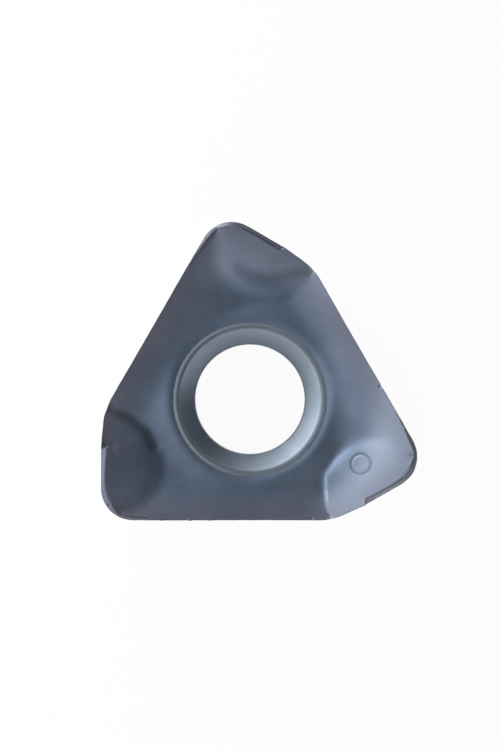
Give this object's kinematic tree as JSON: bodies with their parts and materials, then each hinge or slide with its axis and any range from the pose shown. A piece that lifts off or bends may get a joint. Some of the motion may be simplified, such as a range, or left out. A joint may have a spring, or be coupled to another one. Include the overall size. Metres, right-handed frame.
{
  "type": "carbide milling insert",
  "caption": "Indexable carbide milling insert with rising cutting edges, sunken corner pads, a pressed chip-former top and a countersunk screw hole.",
  "frame": {"origin": "on the screw hole's axis, in the flat seat face", "axes": "+Z along the screw hole's axis, from the seat to the pressed top; -Y square to the main cutting edge that runs along X, the lower edge in the picture"},
  "size_m": [0.0125, 0.0118, 0.0047],
  "materials": {
    "coated_carbide": "satin"
  },
  "bodies": {
    "root": {"insert": "coated_carbide"}
  },
  "joints": []
}
